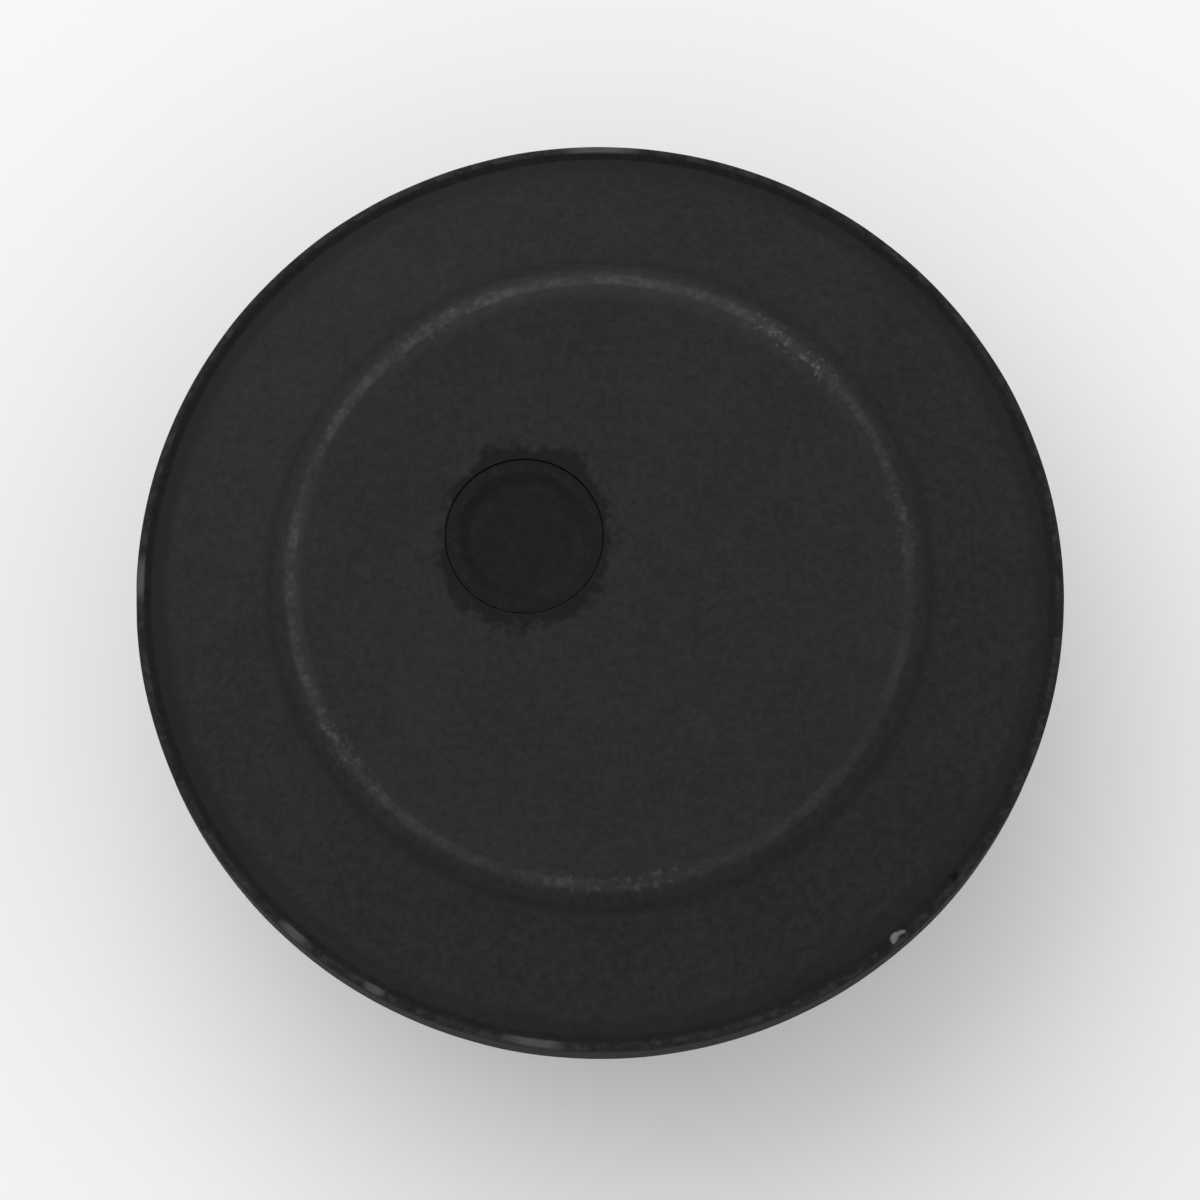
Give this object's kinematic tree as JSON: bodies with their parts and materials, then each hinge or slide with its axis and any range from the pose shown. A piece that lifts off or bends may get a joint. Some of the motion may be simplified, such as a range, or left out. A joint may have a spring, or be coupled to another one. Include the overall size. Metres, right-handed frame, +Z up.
{
  "type": "security tag detacher",
  "caption": "Round flush-mount magnetic tag detacher: charcoal flanged cap with a low plateau and an off-centre nest with a sprung plunger, over a barrel of magnets.",
  "frame": {"origin": "centre of the barrel's lower end", "axes": "+Z up along the barrel's axis; the nest stands off the axis towards -X and +Y; +Y is away from the person at the counter"},
  "size_m": [0.098, 0.098, 0.046],
  "materials": {
    "cover": "matt charcoal moulding with a fine grain",
    "trim": "matt black band",
    "liner": "brown-black, worn by tags",
    "plunger": "brown-black, worn by tags",
    "steel_pin": "ground",
    "spring_steel": "drawn wire",
    "bronze": "turned",
    "dark_steel": "turned",
    "magnet": "nickel plated",
    "foam": "closed-cell foam",
    "carrier": "moulded",
    "clamp": "brushed",
    "screw": "zinc plated",
    "barrel": "matt black moulding",
    "insert": "turned",
    "base_plate": "zinc plated"
  },
  "bodies": {
    "housing": {"top_cover": "cover", "edge_trim": "trim", "nest_liner": "liner", "plunger_spring": "spring_steel", "stem_bush": "bronze", "pole_piece": "dark_steel", "upper_magnet": "magnet", "flux_ring": "dark_steel", "lower_magnet": "magnet", "back_yoke": "dark_steel", "damping_pad": "foam", "magnet_carrier": "carrier", "clamp_plate": "clamp", "clamp_screws": "screw", "barrel": "barrel", "mounting_flange": "barrel", "barrel_clip": "spring_steel", "cover_screws": "screw", "counter_inserts": "insert", "counter_gasket": "foam", "base_plate": "base_plate", "base_seal": "foam", "base_screws": "screw"},
    "plunger": {"plunger_cap": "plunger", "plunger_stem": "steel_pin", "stem_clip": "steel_pin"}
  },
  "joints": [
    {"name": "plunger_slide", "type": "slide", "parent": "housing", "child": "plunger", "axis": [0, 0, -1], "range_m": [0, 0.007], "stiffness_N_per_m": 400, "springref_m": -0.004, "deforming": ["plunger_spring"]}
  ]
}
